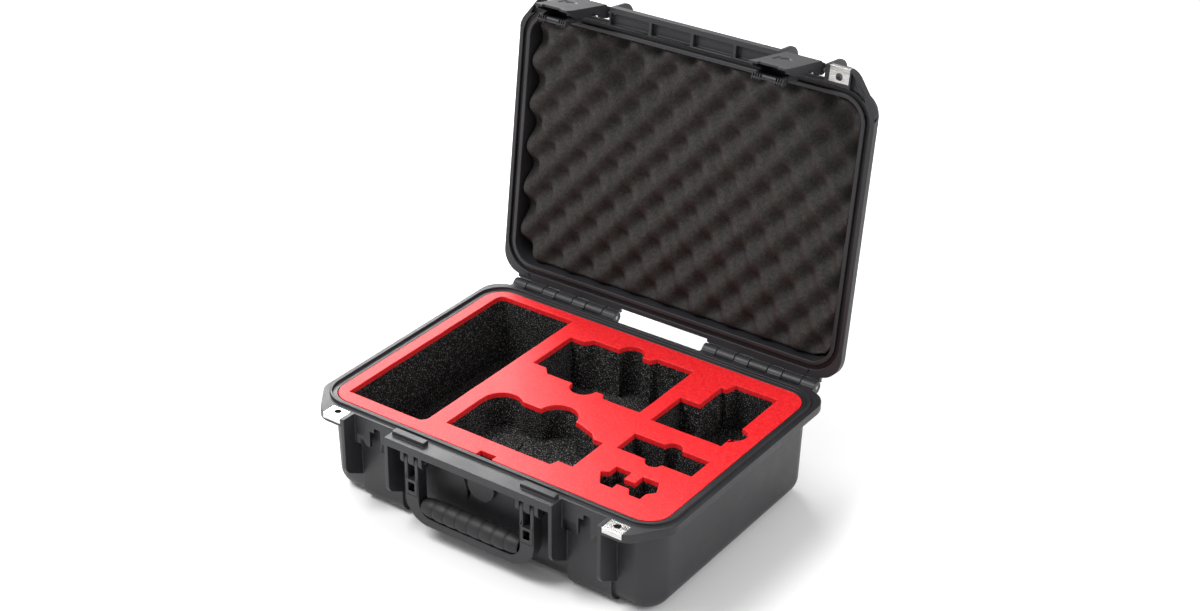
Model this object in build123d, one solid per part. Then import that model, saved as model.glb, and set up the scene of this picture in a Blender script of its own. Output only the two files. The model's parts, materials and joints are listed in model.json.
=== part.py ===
from build123d import *
import os

os.makedirs("parts", exist_ok=True)

# Moulded carrying case with a hinged lid, two trigger latches, a swing handle and cut foam.
# Millimetres. X to the right, Y to the back, Z up, origin under the middle of the base.
# The lid is drawn shut and then turned open about its hinge, so it lines up with the base.

# ---------------------------------------------------------------- foam and walls
FOAM_W = 470.0            # base foam, left to right
FOAM_D = 330.0            # base foam, front to back
FOAM_CORNER = 28.0        # corner radius of the foam seen from above
FOAM_GAP = 0.5            # air between foam and wall
RED_LAYER = 7.0           # coloured top sheet
WALL = 3.5
FLOOR = 4.0
DRAFT = 3.0               # the body is this much narrower each side at the bottom

BASE_HEIGHT = 126.0       # mating plane of base and lid above the ground
LID_DEPTH = 55.0
LAND_GAP = 0.3            # each land stops this far from the mating plane
BOTTOM_RADIUS = 24.0      # round along the bottom of the base
LID_TOP_RADIUS = 20.0     # round along the top of the lid

# ---------------------------------------------------------------- flange and seal
FLANGE_SIDE = 17.0        # flange beyond the foam's edge at the sides
FLANGE_REAR = 18.0        # and at the back
FLANGE_NOSE = 35.0        # and at the front, where it is the rail for latches and handle
FLANGE_THICK = 10.5
FLANGE_BACK_RADIUS = 30.0
CORNER_CUT_X = 34.0       # front corners of the flange are cut off by this much
CORNER_CUT_Y = 46.0
CORNER_CUT_RADIUS = 22.0
SEAL_OFFSET = 8.5         # middle of the bead, outside the foam's edge
BEAD_WIDTH = 3.0
BEAD_HEIGHT = 3.5
GROOVE_WIDTH = 6.0
GASKET_HEIGHT = 3.0
GASKET_CLEAR = 0.4

# ---------------------------------------------------------------- front fins and rail
FIN_INNER = 115.0         # inner face of the inner fins
FIN_THICK = 5.0
LATCH_BAY = 61.0          # clear width between a pair of fins
FIN_TOE_Z = 52.0          # bottom of a fin at its front edge
FIN_HEEL_Z = 33.0         # bottom of a fin at the wall
FIN_TOE_RADIUS = 14.0
LID_FIN_HEIGHT = 48.0
LID_FIN_RADIUS = 20.0
PANEL_TOE_RADIUS = 20.0
PANEL_OUT = 1.5           # the panel behind each latch, proud of the wall at its top
CATCH_INSET = 19.0        # front of the catch plates behind the flange's front edge
CATCH_THICK = 4.0
CATCH_DROP = 39.0
CATCH_GAP = 16.0          # slot between the two catch plates of a latch
CATCH_BLOCK_W = 7.0
CATCH_BLOCK_DROP = 17.0
RAIL_POCKET_INSET = 7.0   # pockets of the lid's rail, behind its front edge
RAIL_POCKET_DEEP = 15.0   # front to back
RAIL_POCKET_DEPTH = 7.0
RAIL_POCKET_WALL = 4.0
KEY_BAR_LENGTH = 47.0
KEY_BAR_DEPTH = 9.0
KEY_BAR_HEIGHT = 5.0
KEY_CLEAR = 3.0

# ---------------------------------------------------------------- hinges
HINGE_REAR = 12.0         # hinge axis behind the flange
HINGE_DROP = 3.0          # hinge axis below the mating plane
HINGE_START = 66.0        # inner end of each hinge, from the middle
BASE_KNUCKLE = 20.0
LID_KNUCKLE = 25.8
KNUCKLE_GAP = 0.6
KNUCKLE_RADIUS = 8.0
HINGE_PIN_RADIUS = 2.5
PIN_CLEAR = 0.05
HOOD_CLEAR = 1.2          # from the base's knuckles to the lid's hood over them
HOOD_INSET = 4.5          # the hood stops this far in front of the hinge axis
HOOD_RISE = 10.0          # top of the hood above the hinge axis
LID_OPEN_DEG = 97.1

# ---------------------------------------------------------------- padlock plates
PADLOCK_INSET = 12.0      # hole behind the flange's front edge
PADLOCK_GAP = 1.0         # from the outer fin to the plate
PADLOCK_HOLE_RADIUS = 4.5
PLATE_W = 26.0
PLATE_DEPTH = 19.0
PLATE_THICK = 1.0
PLATE_FRONT_HEIGHT = 7.0

# ---------------------------------------------------------------- handle
HANDLE_INSET = 11.0       # pivot behind the flange's front edge
HANDLE_PIN_DROP = 22.0    # pivot below the mating plane
ARM_X = 83.0
ARM_W = 20.0
ARM_DEPTH = 16.0
PRONG_W = 5.0
HANDLE_DROP = 81.0        # from the pivot down to the underside of the handle
HANDLE_CORNER = 34.0
HANDLE_INNER_CORNER = 3.0
HANDLE_RIM = 11.0         # hard rim under the grip
GRIP_RADIUS = 12.5
GRIP_END_GAP = 3.0        # from each end of the grip to the arm
GRIP_CORE_RADIUS = 8.0
GRIP_GROOVES = 7
HANDLE_PIN_RADIUS = 2.0
LUG_W = 5.5
LUG_GAP = 0.5
SLOT_DEPTH = 23.0         # slot between the prongs, down from the pivot
WINDOW_BAR = 5.0          # bar between the slot and the window under it
WINDOW_W = 9.0
WINDOW_H = 12.0

# ---------------------------------------------------------------- latches
LATCH_INSET = 10.0        # lever pivot behind the flange's front edge
LATCH_RISE = 8.0          # lever pivot above the mating plane
LEVER_W = 48.2
LEVER_PROUD = 0.5         # lever's face in front of the flange
LEVER_DROP = 82.0         # lever's free edge below the mating plane
LEVER_THICK = 3.0
LEVER_SIDE_DEPTH = 12.0
LEVER_BARREL_RADIUS = 6.0
LEVER_NOTCH_W = 26.0
LEVER_NOTCH_H = 5.0
LEVER_DIMPLE_RADIUS = 7.0
LEVER_REST_DEG = 4.0      # the lever hangs this far out from its latched angle
LATCH_PIN_RADIUS = 2.0
TRIGGER_PIN_DROP = 24.0   # trigger pivot below the mating plane
TRIGGER_PIN_INSET = 9.0   # trigger pivot behind the flange's front edge
TRIGGER_PIN_RADIUS = 1.5
TRIGGER_CLEAR = 0.6       # between the comb ribs and the lever's side walls
TRIGGER_CHEEK = 3.0
TRIGGER_BOTTOM = 76.0     # trigger's lower end below the mating plane
HOOK_REACH = 2.5          # the hook's end behind the front of the catch plates
HOOK_THICK = 3.5
HOOK_CLEAR = 0.4
FINGER_BAR_RADIUS = 3.5
COMB_RIBS = 3
COMB_RIB = 1.5
COMB_PITCH = 4.0
COMB_OUT = 2.0            # ribs beyond the trigger's cheeks
SPRING_RADIUS = 2.8       # middle of the wire
SPRING_WIRE = 0.5         # wire radius
SPRING_PITCH = 0.95       # a little under one wire's thickness, so the turns touch
SPRING_TURNS = 5
SPRING_LEG = 12.0

# ---------------------------------------------------------------- pressure valve
VALVE_DROP = 37.0         # valve centre below the mating plane
VALVE_CAP_RADIUS = 19.0
VALVE_CAP_THICK = 2.0
VALVE_CAP_LIFT = 0.5
VALVE_HEAD_RADIUS = 16.0
VALVE_HEAD_THICK = 3.5
VALVE_STEM_RADIUS = 8.0
VALVE_BORE_RADIUS = 3.0
VALVE_SEAL_RADIUS = 11.0
VALVE_SEAT = 1.5          # flat seat sunk into the drafted wall, filled by the seal

# ---------------------------------------------------------------- worked-out places
FLANGE_W = FOAM_W + 2 * FLANGE_SIDE
FLANGE_BACK = FOAM_D / 2 + FLANGE_REAR
FLANGE_FRONT = -FOAM_D / 2 - FLANGE_NOSE
HALF_X = FOAM_W / 2 + FOAM_GAP
HALF_Y = FOAM_D / 2 + FOAM_GAP
BODY_X = HALF_X + WALL
BODY_Y = HALF_Y + WALL
BODY_CORNER = FOAM_CORNER + WALL
LAND_Z = BASE_HEIGHT - LAND_GAP
LID_LAND_Z = BASE_HEIGHT + LAND_GAP
LID_TOP_Z = BASE_HEIGHT + LID_DEPTH
HINGE_Y = FLANGE_BACK + HINGE_REAR
HINGE_Z = BASE_HEIGHT - HINGE_DROP
HINGE_LENGTH = 4 * BASE_KNUCKLE + 3 * LID_KNUCKLE + 6 * KNUCKLE_GAP
HINGE_AXIS = Axis((0, HINGE_Y, HINGE_Z), (1, 0, 0))
FIN_OUTER = FIN_INNER + FIN_THICK + LATCH_BAY
BAY_X = FIN_INNER + FIN_THICK + LATCH_BAY / 2
CATCH_FRONT = FLANGE_FRONT + CATCH_INSET      # the flange is cut back to here between the fins
RAIL_POCKET_FRONT = FLANGE_FRONT + RAIL_POCKET_INSET
PADLOCK_X = FIN_OUTER + FIN_THICK + PADLOCK_GAP + PLATE_W / 2
PADLOCK_Y = FLANGE_FRONT + PADLOCK_INSET
HANDLE_Y = FLANGE_FRONT + HANDLE_INSET
HANDLE_Z = BASE_HEIGHT - HANDLE_PIN_DROP
PANEL_FRONT = -BODY_Y - PANEL_OUT
LATCH_Y = FLANGE_FRONT + LATCH_INSET
LATCH_Z = BASE_HEIGHT + LATCH_RISE
LEVER_FRONT = FLANGE_FRONT - LEVER_PROUD
TRIGGER_PIN_Y = FLANGE_FRONT + TRIGGER_PIN_INSET
TRIGGER_INNER = CATCH_FRONT + HOOK_REACH
TRIGGER_W = LEVER_W - 2 * (LEVER_THICK + TRIGGER_CLEAR + COMB_OUT)
TRIGGER_Z = BASE_HEIGHT - TRIGGER_PIN_DROP
HOOK_Z = LAND_Z - CATCH_DROP - HOOK_CLEAR
SEAL_X = FOAM_W / 2 + SEAL_OFFSET
SEAL_Y = FOAM_D / 2 + SEAL_OFFSET
SEAL_CORNER = FOAM_CORNER + SEAL_OFFSET
VALVE_FACE = -BODY_Y + DRAFT * VALVE_DROP / BASE_HEIGHT
SIDES = (-1, 1)


def block(x0, x1, y0, y1, z0, z1):
    """Box between two corners."""
    middle = ((x0 + x1) / 2, (y0 + y1) / 2, (z0 + z1) / 2)
    return Pos(*middle) * Box(abs(x1 - x0), abs(y1 - y0), abs(z1 - z0))


def rod(x0, x1, y, z, radius):
    """Cylinder along X."""
    return Pos((x0 + x1) / 2, y, z) * Rot(0, 90, 0) * Cylinder(radius, abs(x1 - x0))


def plan(half_x, half_y, corner, z):
    """Rounded rectangle in plan at height z."""
    return Pos(0, 0, z) * RectangleRounded(2 * half_x, 2 * half_y, corner)


def drafted(half_x, half_y, corner, z_wide, z_narrow, narrower):
    """Tub shape: full size at z_wide, narrower on every side at z_narrow."""
    wide = plan(half_x, half_y, corner, z_wide)
    narrow = plan(half_x - narrower, half_y - narrower, corner - narrower / 2, z_narrow)
    return loft(Sketch() + [wide, narrow])


def rounded_rim(solid, z, radius):
    """Round the edges that lie in the plane at height z."""
    return fillet(solid.edges().filter_by_position(Axis.Z, z - 0.01, z + 0.01), radius)


def side_profile(points, x0, x1):
    """Plate with the given (y, z) outline, from x0 to x1."""
    face = make_face(Plane.YZ * Polyline(*points, close=True))
    return Pos(min(x0, x1), 0, 0) * extrude(face, abs(x1 - x0), dir=(1, 0, 0))


def in_lid(shape):
    """Turn a shape of the shut lid to where it is with the lid open."""
    return shape.rotate(HINGE_AXIS, -LID_OPEN_DEG)


def seal_ring(width, z0, z1):
    """Closed band that follows the seal."""
    outer = plan(SEAL_X + width / 2, SEAL_Y + width / 2, SEAL_CORNER + width / 2, z0)
    inner = plan(SEAL_X - width / 2, SEAL_Y - width / 2, SEAL_CORNER - width / 2, z0)
    return extrude(outer - inner, z1 - z0)


# ---------------------------------------------------------------- foam pockets
def outline(*points):
    return make_face(Polyline(*points, close=True))


def disc(x, y, radius):
    return Pos(x, y) * Circle(radius)


def pocket_tall():
    """Long pocket at the left, two of its corners rounded."""
    face = outline((-219, -146), (-104, -146), (-104, 151), (-219, 151))
    corners = face.vertices().sort_by(Axis.X)
    left_back = corners[:2].sort_by(Axis.Y)[-1]
    right_front = corners[2:].sort_by(Axis.Y)[0]
    return fillet([left_back, right_front], 10)


def pocket_craft():
    """Pocket in the middle of the front, with two round shoulders."""
    body = outline((-81, -133), (69, -133), (72, -122), (92, -122), (92, -61), (78, -61),
                   (70, -52), (50, -45), (44, -43), (-50, -43), (-81, -62))
    return body + disc(-55, -62, 26) + disc(15, -45, 25)


def pocket_camera():
    """Stepped pocket in the middle of the back, the same front and back."""
    middle_y = 77
    half = ((-82, 39.5), (-62, 39.5), (-53, 50), (31, 50), (35, 58.5), (88, 58.5))
    back = [(x, middle_y + y) for x, y in half]
    front = [(x, middle_y - y) for x, y in reversed(half)]
    return outline(*back, *front) + disc(2, middle_y + 50.5, 17) + disc(2, middle_y - 50.5, 17)


def pocket_charger():
    """L-shaped pocket at the right of the back."""
    body = outline((108, 13), (205, 13), (205, 139), (147, 139), (143, 124), (136, 124),
                   (136, 76), (108, 76))
    return body + disc(205, 45, 14)


def pocket_battery():
    """Slot with a finger notch on each long side."""
    slot = outline((110, -60), (212, -60), (212, -22), (110, -22))
    return slot + disc(163, -24, 12) + disc(161, -59, 11)


def pocket_small():
    """Small double pocket at the right of the front."""
    left = outline((132, -92), (153, -92), (153, -131), (136, -131), (123, -111), (132, -106))
    right = outline((168, -92), (190, -92), (198, -110), (190, -119), (190, -131), (175, -131),
                    (168, -119))
    bridge = outline((152, -121), (170, -121), (170, -108), (152, -108))
    return left + bridge + right


POCKETS = (
    (pocket_tall, 95.0),
    (pocket_craft, 46.0),
    (pocket_camera, 70.0),
    (pocket_charger, 62.0),
    (pocket_battery, 46.0),
    (pocket_small, 26.0),
)
TAB_SLOT = (-12.0, 10.0, 9.0)     # left, right and depth of the pull slot in the front edge
FLOOR_DISC = (-40.0, -72.0, 19.0, 3.0)   # x, y, radius and height of the pad in the craft pocket


def pocket_cuts(z_from):
    """The pockets as solids, from above the foam down to their floors or to z_from."""
    cuts = []
    for pocket, depth in POCKETS:
        bottom = max(BASE_HEIGHT - depth, z_from)
        cuts.append(extrude(Pos(0, 0, bottom) * pocket(), BASE_HEIGHT + 1 - bottom))
    left, right, deep = TAB_SLOT
    slot_floor = max(BASE_HEIGHT - 2 * RED_LAYER, z_from)
    cuts.append(block(left, right, -FOAM_D, -FOAM_D / 2 + deep, slot_floor, BASE_HEIGHT + 1))
    return cuts


def foam_blank(z0, z1):
    """Foam block that follows the drafted walls."""
    narrower = DRAFT * (BASE_HEIGHT - z0) / BASE_HEIGHT
    top_narrower = DRAFT * (BASE_HEIGHT - z1) / BASE_HEIGHT
    wide = plan(FOAM_W / 2 - top_narrower, FOAM_D / 2 - top_narrower, FOAM_CORNER - top_narrower / 2, z1)
    narrow = plan(FOAM_W / 2 - narrower, FOAM_D / 2 - narrower, FOAM_CORNER - narrower / 2, z0)
    return loft(Sketch() + [wide, narrow])


def make_base_foam_top():
    sheet = foam_blank(BASE_HEIGHT - RED_LAYER, BASE_HEIGHT)
    for cut in pocket_cuts(BASE_HEIGHT - 2 * RED_LAYER):
        sheet -= cut
    return sheet


def make_base_foam_tray():
    bottom = FLOOR + FOAM_GAP
    tray = rounded_rim(foam_blank(bottom, BASE_HEIGHT - RED_LAYER), bottom, BOTTOM_RADIUS - WALL)
    for cut in pocket_cuts(bottom):
        tray -= cut
    x, y, radius, height = FLOOR_DISC
    pad_floor = BASE_HEIGHT - POCKETS[1][1]
    return tray + Pos(x, y, pad_floor + height / 2) * Cylinder(radius, height)


# ---------------------------------------------------------------- shells
def flange_plan(z):
    """Outline of the flange: round at the back, cut off at the front corners."""
    x = FLANGE_W / 2
    points = ((-x, FLANGE_BACK), (x, FLANGE_BACK), (x, FLANGE_FRONT + CORNER_CUT_Y),
              (x - CORNER_CUT_X, FLANGE_FRONT), (-x + CORNER_CUT_X, FLANGE_FRONT),
              (-x, FLANGE_FRONT + CORNER_CUT_Y))
    face = outline(*points)
    face = fillet(face.vertices().group_by(Axis.Y)[-1], FLANGE_BACK_RADIUS)
    front = face.vertices().filter_by_position(Axis.Y, FLANGE_FRONT - 1, FLANGE_FRONT + CORNER_CUT_Y + 1)
    return Pos(0, 0, z) * fillet(front, CORNER_CUT_RADIUS)


def knuckles(first, width, step, count, side, z_reach):
    """Hinge knuckles with arms to the flange's back edge."""
    group = []
    for index in range(count):
        start = HINGE_START + first + index * step
        x0, x1 = sorted((side * start, side * (start + width)))
        arm = block(x0, x1, FLANGE_BACK - 2, HINGE_Y, *z_reach)
        group.append(arm + rod(x0, x1, HINGE_Y, HINGE_Z, KNUCKLE_RADIUS))
    return group


def hinge_hood(side):
    """Wall along the lid's back edge that closes the view over the base's knuckles."""
    x0, x1 = sorted((side * HINGE_START, side * (HINGE_START + HINGE_LENGTH)))
    wall = block(x0, x1, FLANGE_BACK - 2, HINGE_Y - HOOD_INSET, LID_LAND_Z, HINGE_Z + HOOD_RISE)
    return wall - rod(x0 - 1, x1 + 1, HINGE_Y, HINGE_Z, KNUCKLE_RADIUS + HOOD_CLEAR)


def hinge_bore(side):
    start = side * (HINGE_START - 1)
    end = side * (HINGE_START + HINGE_LENGTH + 1)
    return rod(start, end, HINGE_Y, HINGE_Z, HINGE_PIN_RADIUS + PIN_CLEAR)


def latch_bays(z0, z1):
    """Room between each pair of fins, in front of the wall."""
    half = LATCH_BAY / 2
    front = FLANGE_FRONT - 5
    return [block(s * BAY_X - half, s * BAY_X + half, front, CATCH_FRONT, z0, z1) for s in SIDES]


def fin_places():
    """Left face of each of the four fins."""
    return (-FIN_OUTER - FIN_THICK, -FIN_INNER - FIN_THICK, FIN_INNER, FIN_OUTER)


def base_fin(x):
    points = ((-BODY_Y + 2, LAND_Z), (FLANGE_FRONT, LAND_Z), (FLANGE_FRONT, FIN_TOE_Z),
              (-BODY_Y + 4, FIN_HEEL_Z))
    fin = side_profile(points, x, x + FIN_THICK)
    toe = fin.edges().filter_by(Axis.X).sort_by(Axis.Z)[:2].sort_by(Axis.Y)[0]
    return fillet(toe, FIN_TOE_RADIUS)


def lid_fin(x):
    top = LID_LAND_Z + LID_FIN_HEIGHT
    points = ((-BODY_Y + 2, LID_LAND_Z), (FLANGE_FRONT, LID_LAND_Z), (FLANGE_FRONT, top),
              (-BODY_Y + 2, top))
    fin = side_profile(points, x, x + FIN_THICK)
    brow = fin.edges().filter_by(Axis.X).sort_by(Axis.Z)[-2:].sort_by(Axis.Y)[0]
    return fillet(brow, LID_FIN_RADIUS)


def plate_seat(side, z_face, away):
    """Recess for a padlock plate in a land; away is +1 or -1, from the land into the flange."""
    x = side * PADLOCK_X
    z0, z1 = sorted((z_face - away, z_face + away * PLATE_THICK))
    top = block(x - PLATE_W / 2, x + PLATE_W / 2, FLANGE_FRONT - 1, FLANGE_FRONT + PLATE_DEPTH, z0, z1)
    z0, z1 = sorted((z_face - away, z_face + away * PLATE_FRONT_HEIGHT))
    front = block(x - PLATE_W / 2, x + PLATE_W / 2, FLANGE_FRONT - 1, FLANGE_FRONT + PLATE_THICK, z0, z1)
    return top + front


def padlock_hole(side, z0, z1):
    middle = (side * PADLOCK_X, PADLOCK_Y, (z0 + z1) / 2)
    return Pos(*middle) * Cylinder(PADLOCK_HOLE_RADIUS, abs(z1 - z0))


def padlock_plate(side, z_face, away):
    """Bent plate: a leg on the land with the hole, and a lip down the front edge."""
    x = side * PADLOCK_X
    half = PLATE_W / 2
    z0, z1 = sorted((z_face, z_face + away * PLATE_THICK))
    plate = block(x - half, x + half, FLANGE_FRONT, FLANGE_FRONT + PLATE_DEPTH, z0, z1)
    z2, z3 = sorted((z_face, z_face + away * PLATE_FRONT_HEIGHT))
    plate += block(x - half, x + half, FLANGE_FRONT, FLANGE_FRONT + PLATE_THICK, z2, z3)
    return plate - padlock_hole(side, z0 - 1, z1 + 1)


def catch_plates(side):
    """Two hanging plates that the latch hook grips, the left one with a stop block."""
    bay_left = side * BAY_X - LATCH_BAY / 2
    bay_right = bay_left + LATCH_BAY
    slot_left = side * BAY_X - CATCH_GAP / 2
    slot_right = slot_left + CATCH_GAP
    back = CATCH_FRONT + CATCH_THICK
    left = block(bay_left, slot_left, CATCH_FRONT, back, LAND_Z - CATCH_DROP, LAND_Z)
    right = block(slot_right, bay_right, CATCH_FRONT, back, LAND_Z - CATCH_DROP, LAND_Z)
    stop_right = slot_left + CATCH_BLOCK_W
    stop = block(slot_left, stop_right, CATCH_FRONT, -BODY_Y + 2, LAND_Z - CATCH_BLOCK_DROP, LAND_Z)
    return left + right + stop


def latch_panel(side):
    """Panel behind the latch, down to the ground."""
    half = LATCH_BAY / 2
    x = side * BAY_X
    panel = block(x - half, x + half, PANEL_FRONT, -HALF_Y + 30, 0, LAND_Z - FLANGE_THICK)
    toe = panel.edges().filter_by(Axis.X).sort_by(Axis.Z)[:2].sort_by(Axis.Y)[0]
    return fillet(toe, PANEL_TOE_RADIUS)


def handle_lugs(side):
    """Three lugs under the rail that carry one arm of the handle."""
    top = LAND_Z - FLANGE_THICK + 1
    gap_x = ARM_W / 2 + LUG_GAP
    spans = ((-gap_x - LUG_W, -gap_x), (-ARM_W / 2 + PRONG_W + LUG_GAP, ARM_W / 2 - PRONG_W - LUG_GAP),
             (gap_x, gap_x + LUG_W))
    half = ARM_DEPTH / 2
    lugs = []
    for start, end in spans:
        x0 = side * ARM_X + start
        x1 = side * ARM_X + end
        ear = block(x0, x1, HANDLE_Y - half, HANDLE_Y + half, HANDLE_Z, top)
        lugs.append(ear + rod(x0, x1, HANDLE_Y, HANDLE_Z, half))
    return lugs


def handle_bore(side, clear):
    reach = ARM_W / 2 + LUG_GAP + LUG_W + 1
    return rod(side * ARM_X - reach, side * ARM_X + reach, HANDLE_Y, HANDLE_Z, HANDLE_PIN_RADIUS + clear)


def key_bar(side):
    """Low bar on the front land that drops into a pocket of the lid's rail."""
    outer = FIN_INNER + 1
    x0, x1 = sorted((side * (outer - KEY_BAR_LENGTH), side * outer))
    y0 = RAIL_POCKET_FRONT + KEY_CLEAR
    bar = block(x0, x1, y0, y0 + KEY_BAR_DEPTH, LAND_Z - 1, LAND_Z + KEY_BAR_HEIGHT)
    return bar


def side_notch_marks():
    """Small wedges under the flange at the sides, as places to cut."""
    wedges = []
    for side in SIDES:
        for y in (-65.0, 94.0):
            x0, x1 = sorted((side * (BODY_X - 1.2), side * (BODY_X + 4)))
            wedge = side_profile(((y - 8, 0), (y + 8, 0), (y + 8, -5)), x0, x1)
            wedges.append(Pos(0, 0, LAND_Z - FLANGE_THICK) * wedge)
    return wedges


def make_base_shell():
    body = drafted(BODY_X, BODY_Y, BODY_CORNER, LAND_Z, 0, DRAFT)
    body = rounded_rim(body, 0, BOTTOM_RADIUS)
    body += extrude(flange_plan(LAND_Z - FLANGE_THICK), FLANGE_THICK)
    for bay in latch_bays(LAND_Z - FLANGE_THICK - 1, LAND_Z + 1):
        body -= bay
    for x in fin_places():
        body += base_fin(x)
    for side in SIDES:
        body += latch_panel(side)
        body += catch_plates(side)
        for lug in handle_lugs(side):
            body += lug
        body += key_bar(side)
        step = BASE_KNUCKLE + LID_KNUCKLE + 2 * KNUCKLE_GAP
        reach = (HINGE_Z - KNUCKLE_RADIUS + 1, LAND_Z)
        for knuckle in knuckles(0, BASE_KNUCKLE, step, 4, side, reach):
            body += knuckle
    body += seal_ring(BEAD_WIDTH, LAND_Z - 1, LAND_Z + BEAD_HEIGHT)
    cavity = drafted(HALF_X, HALF_Y, FOAM_CORNER, LAND_Z, FLOOR, DRAFT)
    body -= rounded_rim(cavity, FLOOR, BOTTOM_RADIUS - WALL)
    for side in SIDES:
        body -= hinge_bore(side)
        body -= handle_bore(side, 0)
        body -= plate_seat(side, LAND_Z, -1)
        body -= padlock_hole(side, LAND_Z - FLANGE_THICK - 1, LAND_Z + 1)
    for wedge in side_notch_marks():
        body -= wedge
    body -= valve_round(VALVE_STEM_RADIUS, VALVE_FACE - 10, VALVE_FACE + 10)
    body -= valve_round(VALVE_SEAL_RADIUS + VALVE_CAP_LIFT, VALVE_FACE - 10, VALVE_FACE + VALVE_SEAT)
    body -= valve_round(VALVE_CAP_RADIUS + 2, VALVE_FACE - 10, VALVE_FACE)
    return body


def rail_pockets():
    """Four pockets in the front rail of the lid, open towards the base, the outer two over the key bars."""
    reach = FIN_INNER + (FIN_THICK + RAIL_POCKET_WALL) / 2
    pitch = reach / 2
    back = RAIL_POCKET_FRONT + RAIL_POCKET_DEEP
    top = LID_LAND_Z + RAIL_POCKET_DEPTH
    cuts = []
    for index in range(4):
        x0 = -reach + index * pitch + RAIL_POCKET_WALL / 2
        x1 = x0 + pitch - RAIL_POCKET_WALL
        cuts.append(block(x0, x1, RAIL_POCKET_FRONT, back, LID_LAND_Z - 1, top))
    return cuts


def corner_pocket(side):
    """Three-sided hollow in each front corner of the lid's flange."""
    inner = PADLOCK_X + PLATE_W / 2 + 2
    front = FLANGE_FRONT + 4
    points = ((side * inner, front), (side * inner, front + 20), (side * (inner + 22), front + 30),
              (side * (inner + 18), front + 18))
    return extrude(Pos(0, 0, LID_LAND_Z - 1) * outline(*points), RAIL_POCKET_DEPTH)


def make_lid_shell():
    body = drafted(BODY_X, BODY_Y, BODY_CORNER, LID_LAND_Z, LID_TOP_Z, DRAFT / 2)
    body = rounded_rim(body, LID_TOP_Z, LID_TOP_RADIUS)
    body += extrude(flange_plan(LID_LAND_Z), FLANGE_THICK)
    for bay in latch_bays(LID_LAND_Z - 1, LID_LAND_Z + FLANGE_THICK + 1):
        body -= bay
    for x in fin_places():
        body += lid_fin(x)
    for side in SIDES:
        step = BASE_KNUCKLE + LID_KNUCKLE + 2 * KNUCKLE_GAP
        first = BASE_KNUCKLE + KNUCKLE_GAP
        reach = (LID_LAND_Z, HINGE_Z + KNUCKLE_RADIUS - 1)
        body += hinge_hood(side)
        for knuckle in knuckles(first, LID_KNUCKLE, step, 3, side, reach):
            body += knuckle
    cavity = drafted(HALF_X, HALF_Y, FOAM_CORNER, LID_LAND_Z, LID_TOP_Z - FLOOR, DRAFT / 2)
    body -= rounded_rim(cavity, LID_TOP_Z - FLOOR, LID_TOP_RADIUS - WALL)
    body -= seal_ring(GROOVE_WIDTH, LID_LAND_Z - 1, LID_LAND_Z + BEAD_HEIGHT + GASKET_HEIGHT)
    for cut in rail_pockets():
        body -= cut
    for side in SIDES:
        body -= hinge_bore(side)
        body -= corner_pocket(side)
        body -= plate_seat(side, LID_LAND_Z, 1)
        body -= padlock_hole(side, LID_LAND_Z - 1, LID_LAND_Z + FLANGE_THICK + 1)
        body -= latch_pin(side, 0)
    return body


def make_lid_gasket():
    groove_top = LID_LAND_Z + BEAD_HEIGHT + GASKET_HEIGHT
    z0 = groove_top - GASKET_HEIGHT + GASKET_CLEAR
    return seal_ring(GROOVE_WIDTH - 2 * GASKET_CLEAR, z0, groove_top - GASKET_CLEAR / 4)


def make_lid_foam():
    top = LID_TOP_Z - FLOOR - FOAM_GAP
    narrow = DRAFT / 2
    wide = plan(FOAM_W / 2, FOAM_D / 2, FOAM_CORNER, LID_LAND_Z + 2)
    small = plan(FOAM_W / 2 - narrow, FOAM_D / 2 - narrow, FOAM_CORNER - narrow / 2, top)
    return rounded_rim(loft(Sketch() + [wide, small]), top, LID_TOP_RADIUS - WALL)


def hinge_pin(side):
    start = side * (HINGE_START + 0.5)
    end = side * (HINGE_START + HINGE_LENGTH - 0.5)
    return rod(start, end, HINGE_Y, HINGE_Z, HINGE_PIN_RADIUS)


# ---------------------------------------------------------------- handle
def make_handle_frame():
    half_w = ARM_X + ARM_W / 2
    bottom = HANDLE_Z - HANDLE_DROP
    top = HANDLE_Z
    back = HANDLE_Y + ARM_DEPTH / 2
    over = HANDLE_CORNER + 6      # the outlines run this far past the pivot and are cut off there
    outer = Pos(0, (bottom + top + over) / 2)
    outer *= RectangleRounded(2 * half_w, top + over - bottom, HANDLE_CORNER)
    inner_half = half_w - ARM_W
    inner_bottom = bottom + HANDLE_RIM
    inner = Pos(0, (inner_bottom + top + 2 * over) / 2)
    inner *= RectangleRounded(2 * inner_half, top + 2 * over - inner_bottom, HANDLE_INNER_CORNER)
    above = Pos(0, top + over) * Rectangle(4 * half_w, 2 * over)
    section = outer - inner - above
    frame = Pos(0, back, 0) * extrude(Plane.XZ * section, ARM_DEPTH)
    grip_z = bottom + HANDLE_RIM + GRIP_RADIUS - 1
    frame += rod(-inner_half - 1, inner_half + 1, HANDLE_Y, grip_z, GRIP_CORE_RADIUS)
    for side in SIDES:
        x = side * ARM_X
        frame += rod(x - ARM_W / 2, x + ARM_W / 2, HANDLE_Y, HANDLE_Z, ARM_DEPTH / 2)
        slot_half = ARM_W / 2 - PRONG_W
        slot_bottom = HANDLE_Z - SLOT_DEPTH
        y0 = HANDLE_Y - ARM_DEPTH
        y1 = HANDLE_Y + ARM_DEPTH
        frame -= block(x - slot_half, x + slot_half, y0, y1, slot_bottom, HANDLE_Z + ARM_DEPTH)
        window_top = slot_bottom - WINDOW_BAR
        half = WINDOW_W / 2
        frame -= block(x - half, x + half, y0, y1, window_top - WINDOW_H, window_top)
        frame -= handle_bore(side, PIN_CLEAR)
    return frame


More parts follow.
